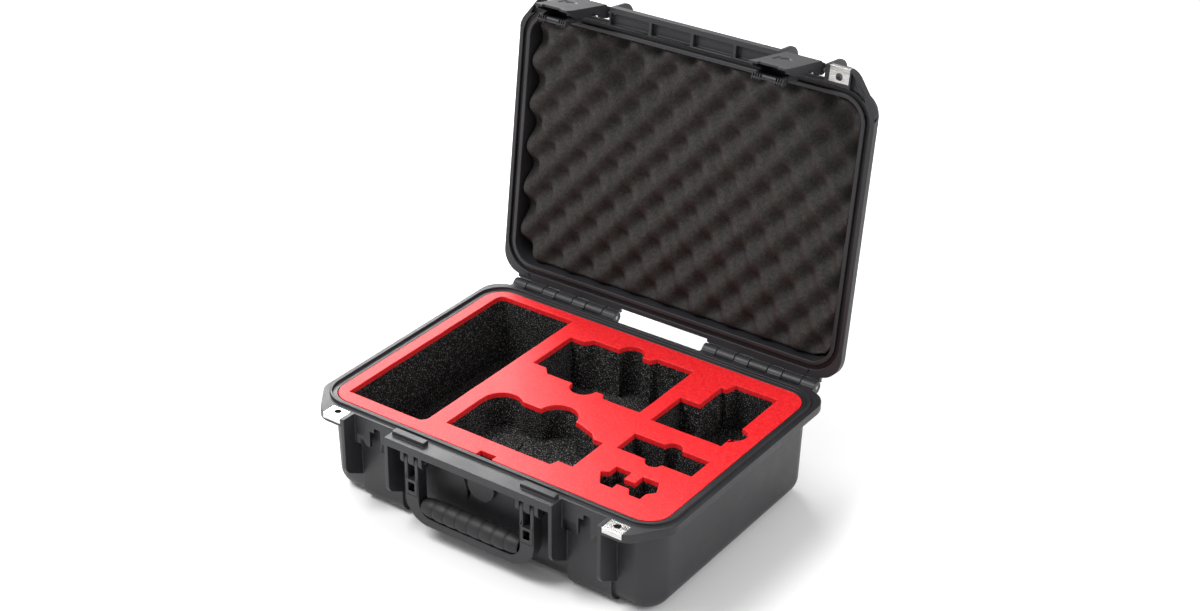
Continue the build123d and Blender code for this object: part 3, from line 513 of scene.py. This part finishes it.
def make_lever(name):
    """Cover plate with a bent free edge, two side walls that reach round the pin, and a barrel."""
    added = [side_prism(shape, -LEVER_HALF, LEVER_HALF) for shape in (LEVER_NECK, disc(0, 0, BARREL))]
    for start in (-LEVER_HALF, LEVER_HALF - LEVER_SKIN):
        for shape in (LEVER_WALL, disc(0, 0, CHEEK)):
            added.append(side_prism(shape, start, start + LEVER_SKIN))
    x, z, length, width, height = MARK
    bar = rectangle(x - width / 2, x + width / 2, z - length / 2, z + length / 2)
    added.append(front_prism(bar, LEVER_FACE - height, LEVER_FACE + 1))
    notch = rectangle(-NOTCH_HALF, NOTCH_HALF, LEVER_FOOT - 1, LEVER_FOOT + NOTCH_RISE)
    x, z, radius, depth = DIMPLE
    cuts = [front_prism(notch, LEVER_FACE - 3, LEVER_BACK + 0.5),
            front_prism(disc(x, z, radius), LEVER_FACE - 1, LEVER_FACE + depth),
            side_prism(disc(0, 0, PIN_HOLE), -LEVER_HALF - 1, LEVER_HALF + 1)]
    bm = carve(side_prism(LEVER_PLATE, -LEVER_HALF, LEVER_HALF), added, "UNION")
    bm = carve(bm, cuts)
    slice_up(bm, LEVER_STEP)
    bm.transform(lever_turn(name))
    node = "latch_lever_" + name
    lever = add_piece("lever_" + name, bm, frame["nodes"][node]["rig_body"], "trim", [node])
    round_edges(lever, 0.6 * MM)


def make_comb(name):
    """Comb teeth and wavy finger bar at the trigger's lower end."""
    bm = bmesh.new()
    parts = []
    for side in (-1, 1):
        for index in range(COMB_TEETH):
            x = side * (COMB_HALF - index * COMB_PITCH)
            parts.append(side_prism(TOOTH, x - TOOTH_HALF, x + TOOTH_HALF))
    edge = []
    for index in range(BAR_POINTS + 1):
        share = 2 * index / BAR_POINTS - 1
        edge.append((share * COMB_HALF, BAR_FOOT + BAR_WAVE * math.cos(3 * math.pi * share / 2)))
    parts.append(front_prism(edge + [(COMB_HALF, BAR_TOP), (-COMB_HALF, BAR_TOP)], BAR_FRONT, BAR_BACK))
    for part in parts:
        mesh = bpy.data.meshes.new("part")
        bmesh.ops.recalc_face_normals(part, faces=part.faces)
        part.to_mesh(mesh)
        part.free()
        bm.from_mesh(mesh)
        bpy.data.meshes.remove(mesh)
    bm.transform(lever_turn(name))
    body = frame["nodes"]["latch_trigger_" + name]["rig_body"]
    round_edges(add_piece("trigger_comb_" + name, bm, body, "trim"), 0.25 * MM)


# ---------------------------------------------------------------- handle grip
GRIP_LOW, GRIP_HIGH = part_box("handle_grip")
GROOVES = 7
GROOVE_DEPTH = 1.5 * MM
GROOVE_SHARPNESS = 0.35             # a smaller power makes a groove narrower
GRIP_TAPER = 3.2 * MM               # how much the radius loses at each end
TAPER_POWER = 6
GRIP_HOLLOW = 8.05 * MM             # radius of the hole for the frame's bar
GRIP_STATIONS = 160                 # steps along the grip and round it
GRIP_AROUND = 40


def grip_radius(share):
    """Radius of the grip at a share of its length from -1 to 1: full in the middle, with ring grooves."""
    full = (GRIP_HIGH.y - GRIP_LOW.y) / 2
    end = abs(share) ** TAPER_POWER
    groove = abs(math.sin(math.pi * (GROOVES + 1) * (share + 1) / 2)) ** GROOVE_SHARPNESS
    inside = abs(share) < 1 - 1.4 / (GROOVES + 1)
    return full - GRIP_TAPER * end - (GROOVE_DEPTH * (1 - groove) if inside else 0)


def make_grip():
    """Soft sleeve turned about the frame's bar, closed inwards at both ends."""
    middle = (GRIP_LOW + GRIP_HIGH) / 2
    centre_z = GRIP_HIGH.z - (GRIP_HIGH.y - GRIP_LOW.y) / 2
    half = (GRIP_HIGH.x - GRIP_LOW.x) / 2
    bm = bmesh.new()
    rings = []
    shares = [2 * index / GRIP_STATIONS - 1 for index in range(GRIP_STATIONS + 1)]
    profile = [(-1, GRIP_HOLLOW), *[(share, grip_radius(share)) for share in shares], (1, GRIP_HOLLOW)]
    for share, radius in profile:
        ring = []
        for index in range(GRIP_AROUND):
            angle = 2 * math.pi * index / GRIP_AROUND
            y = middle.y + radius * math.cos(angle)
            z = max(centre_z + radius * math.sin(angle), GRIP_LOW.z)
            ring.append(bm.verts.new((middle.x + share * half, y, z)))
        rings.append(ring)
    rings.append(rings[0])
    for before, after in zip(rings, rings[1:]):
        for index in range(GRIP_AROUND):
            beside = (index + 1) % GRIP_AROUND
            bm.faces.new((before[index], before[beside], after[beside], after[index]))
    body = frame["nodes"]["handle_grip"]["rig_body"]
    add_piece("handle_grip_sleeve", bm, body, "grip", ["handle_grip"])


make_handle()
make_grip()
for name in ("left", "right"):
    make_lever(name)
    make_comb(name)


# ---------------------------------------------------------------- base foam
def rounded_corner(corner, before, after, radius):
    """Points of an arc that replaces a right-angled corner."""
    count = 6
    centre = corner + radius * before + radius * after
    points = []
    for index in range(count + 1):
        angle = math.pi / 2 * index / count
        points.append(centre - radius * math.cos(angle) * after - radius * math.sin(angle) * before)
    return [tuple(point) for point in points]


CAMERA_Y = 77
CAMERA_HALF = ((-82, 39.5), (-62, 39.5), (-53, 50), (31, 50), (35, 58.5), (88, 58.5))
# Each pocket is a depth and the outlines that it joins, in millimetres from the middle.
POCKETS = (
    (95, [rounded_corner(Vector((-104, -146)), Vector((-1, 0)), Vector((0, 1)), 10)
          + [(-104, 151)]
          + rounded_corner(Vector((-219, 151)), Vector((1, 0)), Vector((0, -1)), 10)
          + [(-219, -146)]]),
    (46, [[(-81, -133), (69, -133), (72, -122), (92, -122), (92, -61), (78, -61), (70, -52), (50, -45),
           (44, -43), (-50, -43), (-81, -62)], disc(-55, -62, 26), disc(15, -45, 25)]),
    (70, [[(x, CAMERA_Y + y) for x, y in CAMERA_HALF]
          + [(x, CAMERA_Y - y) for x, y in reversed(CAMERA_HALF)],
          disc(2, CAMERA_Y + 50.5, 17), disc(2, CAMERA_Y - 50.5, 17)]),
    (62, [[(108, 13), (205, 13), (205, 139), (147, 139), (143, 124), (136, 124), (136, 76), (108, 76)],
          disc(205, 45, 14)]),
    (46, [[(110, -60), (212, -60), (212, -22), (110, -22)], disc(163, -24, 12), disc(161, -59, 11)]),
    (26, [[(132, -92), (153, -92), (153, -131), (136, -131), (123, -111), (132, -106)],
          [(168, -92), (190, -92), (198, -110), (190, -119), (190, -131), (175, -131), (168, -119)],
          [(152, -121), (170, -121), (170, -108), (152, -108)]]),
)
PAD = (-40, -72, 19, 3)             # x, y, radius and height of the pad in the craft pocket
SLOT = (-12, 10, 9)                 # left, right and depth of the pull slot in the front edge
SHEET = FOAM_HIGH.z - FOAM_LOW.z    # thickness of the red sheet
PASS = 2 * MM                       # how far a cutter passes the foam's faces
WOBBLE = (30 * MM, 0.3 * MM)        # size and depth of the foam's unevenness


def rounded_rectangle(half_x, half_y, radius):
    """Closed outline in metres with arcs at the corners."""
    count = 12
    points = []
    for quarter in range(4):
        sign_x = (1, -1, -1, 1)[quarter]
        sign_y = (1, 1, -1, -1)[quarter]
        for index in range(count + 1):
            angle = math.pi / 2 * (quarter + index / count)
            points.append((sign_x * (half_x - radius) + radius * math.cos(angle),
                           sign_y * (half_y - radius) + radius * math.sin(angle)))
    return points


def stack(bm, rings):
    """Closed solid through rings of equally many points, the first at the bottom."""
    rows = [[bm.verts.new((x, y, z)) for x, y in outline] for outline, z in rings]
    count = len(rows[0])
    for lower, upper in zip(rows, rows[1:]):
        for index in range(count):
            after = (index + 1) % count
            bm.faces.new((lower[index], lower[after], upper[after], upper[index]))
    bm.faces.new(list(reversed(rows[0])))
    bm.faces.new(rows[-1])


def pocket_tools(z_low):
    """One prism for each outline of each pocket, down to its floor or to z_low."""
    tools = []
    above = RIM_Z + PASS
    for depth, outlines in POCKETS:
        bottom = max(RIM_Z - depth * MM, z_low)
        for outline in outlines:
            tool = bmesh.new()
            prism(tool, outline, bottom, above)
            tools.append(tool)
    left, right, deep = SLOT
    front = FOAM_LOW.y / MM
    tool = bmesh.new()
    prism(tool, rectangle(left, right, front - 5, front + deep), max(RIM_Z - 2 * SHEET, z_low), above)
    tools.append(tool)
    return tools


def wobble(bm, size, amount):
    """Moves the surface by smooth noise, the same for every piece that shares a place."""
    for vert in bm.verts:
        vert.co += amount * noise.noise_vector(vert.co / size)


FOAM_CORNER = 28 * MM
TRAY_SOFT = 20 * MM                 # rounding of the tray's lower edge
TRAY_STEPS = 5
TRAY_CORNER = 6 * MM                # least radius of its corners
WALL_DRAFT = (FOAM_HIGH.x - TRAY_HIGH.x) / SHEET if TRAY_HIGH.x < FOAM_HIGH.x else 0


def foam_outline(z):
    """Outline of the base foam at height z, which follows the drafted walls."""
    inward = WALL_DRAFT * (FOAM_HIGH.z - z)
    return rounded_rectangle(FOAM_HIGH.x - inward, FOAM_HIGH.y - inward, FOAM_CORNER - inward / 2)


def make_red_sheet():
    """Top sheet with the pockets cut through it."""
    blank = bmesh.new()
    stack(blank, [(foam_outline(FOAM_LOW.z), FOAM_LOW.z), (foam_outline(FOAM_HIGH.z), FOAM_HIGH.z)])
    bm = carve(blank, pocket_tools(FOAM_LOW.z - PASS))
    slice_up(bm, 9 * MM, (0, 1))
    wobble(bm, *WOBBLE)
    sheet = add_piece("red_foam_sheet", bm, "base", "red_foam", ["base_foam_top"])
    round_edges(sheet, 0.7 * MM, 2, 50)


def make_black_tray():
    """Body of the base foam with a rounded lower edge, the pockets and the pad in one of them."""
    blank = bmesh.new()
    rings = []
    for index in reversed(range(TRAY_STEPS + 1)):
        angle = math.pi / 2 * index / TRAY_STEPS
        z = TRAY_LOW.z + TRAY_SOFT * (1 - math.sin(angle))
        inward = TRAY_SOFT * (1 - math.cos(angle)) + WALL_DRAFT * (FOAM_HIGH.z - z)
        corner = max(FOAM_CORNER - inward, TRAY_CORNER)
        rings.append((rounded_rectangle(FOAM_HIGH.x - inward, FOAM_HIGH.y - inward, corner), z))
    rings.append((foam_outline(TRAY_HIGH.z), TRAY_HIGH.z))
    stack(blank, rings)
    bm = carve(blank, pocket_tools(TRAY_LOW.z))
    x, y, radius, height = PAD
    pad = bmesh.new()
    floor = RIM_Z - POCKETS[1][0] * MM
    prism(pad, disc(x, y, radius), floor - PASS, floor + height * MM)
    bm = carve(bm, [pad], "UNION")
    slice_up(bm, 12 * MM)
    wobble(bm, *WOBBLE)
    tray = add_piece("black_foam_tray", bm, "base", "black_foam", ["base_foam_tray"])
    round_edges(tray, 0.8 * MM, 2, 50)


make_red_sheet()
make_black_tray()


# ---------------------------------------------------------------- lid foam
CRATE_X = 48.5 * MM                 # spacing of the hollows along the lid
CRATE_Y = 56.7 * MM
CRATE_START = Vector((-155 * MM, -105 * MM))     # one of the hollows
CRATE_DEPTH = 22 * MM
CRATE_EDGE = 2.2 * MM               # how far the cut edge draws in beside a hollow
CRATE_POWER = 1.15                  # over 1 makes the crests broader than the hollows
CRATE_GAP = 2.6 * MM                # from the mating plane to the crests
BLOCK_HEIGHT = 50 * MM              # from the mating plane to the block's glued face
BLOCK_CORNER = 30 * MM
BLOCK_INSET = 1.5 * MM              # from the base foam's outline
EDGE_POWER = 24                     # keeps the edge's changes close to it
EDGE_LIFT = 1.6 * MM
RIPPLE = (20 * MM, 0.8 * MM)        # size and depth of the face's unevenness
BLOCK_LEVELS = ((0.25, 1.004), (1.0, 0.985))     # share of the height and scale of each outline
CELLS_X, CELLS_Y = 156, 110


def hollow(x, y):
    """1 in the middle of a hollow and 0 on a crest."""
    wave_x = math.cos(2 * math.pi * (x - CRATE_START.x) / CRATE_X)
    wave_y = math.cos(2 * math.pi * (y - CRATE_START.y) / CRATE_Y)
    return (0.5 + 0.5 * wave_x * wave_y) ** CRATE_POWER


def rounded_grid(half_x, half_y, radius, u, v):
    """Point of a rounded rectangle for u and v from -1 to 1, its corners drawn in from a plain grid."""
    x = u * half_x
    y = v * half_y
    over_x = (abs(x) - half_x + radius) / radius
    over_y = (abs(y) - half_y + radius) / radius
    if over_x > 0 and over_y > 0:
        x = math.copysign(half_x - radius + radius * over_x * math.sqrt(1 - over_y ** 2 / 2), x)
        y = math.copysign(half_y - radius + radius * over_y * math.sqrt(1 - over_x ** 2 / 2), y)
    return x, y


def make_lid_foam():
    """Soft block with an egg-crate face towards the base."""
    half = FOAM_HIGH.xy
    face_z = RIM_Z + CRATE_GAP
    top_z = RIM_Z + BLOCK_HEIGHT
    ripple_size, ripple_depth = RIPPLE
    bm = bmesh.new()
    rows = []
    for j in range(CELLS_Y + 1):
        row = []
        for i in range(CELLS_X + 1):
            u = 2 * i / CELLS_X - 1
            v = 2 * j / CELLS_Y - 1
            x, y = rounded_grid(half.x - BLOCK_INSET, half.y - BLOCK_INSET, BLOCK_CORNER, u, v)
            deep = hollow(x, y)
            edge = max(abs(u), abs(v)) ** EDGE_POWER
            x -= math.copysign(CRATE_EDGE * deep * edge * abs(u), x)
            y -= math.copysign(CRATE_EDGE * deep * edge * abs(v), y)
            ripple = noise.noise(Vector((x, y, 0)) / ripple_size)
            z = face_z + CRATE_DEPTH * deep + ripple_depth * ripple + EDGE_LIFT * edge
            row.append(bm.verts.new((x, y, z)))
        rows.append(row)
    for j in range(CELLS_Y):
        for i in range(CELLS_X):
            bm.faces.new((rows[j][i], rows[j + 1][i], rows[j + 1][i + 1], rows[j][i + 1]))
    rim = rows[0][:-1] + [row[-1] for row in rows[:-1]]
    rim += rows[-1][:0:-1] + [row[0] for row in rows[:0:-1]]
    last = rim
    for share, scale in BLOCK_LEVELS:
        ring = []
        for vert in rim:
            z = vert.co.z + (top_z - vert.co.z) * share
            ring.append(bm.verts.new((vert.co.x * scale, vert.co.y * scale, z)))
        for index in range(len(rim)):
            after = (index + 1) % len(rim)
            bm.faces.new((last[index], last[after], ring[after], ring[index]))
        last = ring
    bm.faces.new(list(reversed(last)))
    bm.transform(LID_OPEN)
    block = add_piece("egg_crate_foam", bm, "lid", "lid_foam", ["lid_foam"])


make_lid_foam()


# ---------------------------------------------------------------- stage
FLOOR_HALF = 30
CAMERA_PLACE = Vector((1.2591, -1.7515, 1.4368))
CAMERA_TARGET = Vector((-0.0955, 0.1814, 0.126))
CAMERA_ROLL = math.radians(-0.59)
# Name, place, what it points at, size and power of each area light.
LIGHTS = (
    ("key", (-0.9, -1.0, 2.1), (0, 0, 0.1), 1.0, 50),
    ("side", (-1.7, 1.3, 1.5), (-0.2, 0, 0.12), 1.2, 55),
    ("fill", (1.9, 0.4, 1.3), (0.2, 0, 0.1), 1.2, 18),
)


def make_floor():
    """Pale floor under the case."""
    bm = bmesh.new()
    bmesh.ops.create_grid(bm, x_segments=1, y_segments=1, size=FLOOR_HALF)
    mesh = bpy.data.meshes.new("floor")
    bm.to_mesh(mesh)
    bm.free()
    floor = bpy.data.objects.new("floor", mesh)
    floor.location.z = FLOOR_Z
    mesh.materials.append(blank_material("floor", (0.9, 0.9, 0.9), 0.9))
    bpy.context.scene.collection.objects.link(floor)


def make_light(name, place, target, size, power):
    """Area light turned towards its target."""
    light = bpy.data.lights.new(name, "AREA")
    light.size = size
    light.energy = power
    lamp = bpy.data.objects.new(name, light)
    lamp.location = place
    aim = Vector(target) - Vector(place)
    lamp.rotation_euler = aim.to_track_quat("-Z", "Y").to_euler()
    bpy.context.scene.collection.objects.link(lamp)


def make_camera():
    """Camera with a slight roll about its line of sight."""
    camera = bpy.data.cameras.new("camera")
    camera.lens = 63.5
    camera.sensor_width = 36
    camera.shift_x = 0.0065
    camera.shift_y = 0.0066
    camera.clip_end = 100
    made = bpy.data.objects.new("camera", camera)
    forward = (CAMERA_TARGET - CAMERA_PLACE).normalized()
    level = forward.cross(Vector((0, 0, 1))).normalized()
    right = Quaternion(forward, CAMERA_ROLL) @ level
    up = right.cross(forward)
    axes = Matrix((right, up, -forward)).transposed().to_4x4()
    made.matrix_world = Matrix.Translation(CAMERA_PLACE) @ axes
    bpy.context.scene.collection.objects.link(made)
    bpy.context.scene.camera = made


def make_world():
    """Even white surroundings."""
    world = bpy.data.worlds.new("studio")
    world.use_nodes = True
    background = world.node_tree.nodes["Background"]
    background.inputs["Color"].default_value = (1, 1, 1, 1)
    background.inputs["Strength"].default_value = 0.6
    bpy.context.scene.world = world
    bpy.context.scene.view_settings.view_transform = "Standard"


make_floor()
for light in LIGHTS:
    make_light(*light)
make_camera()
make_world()
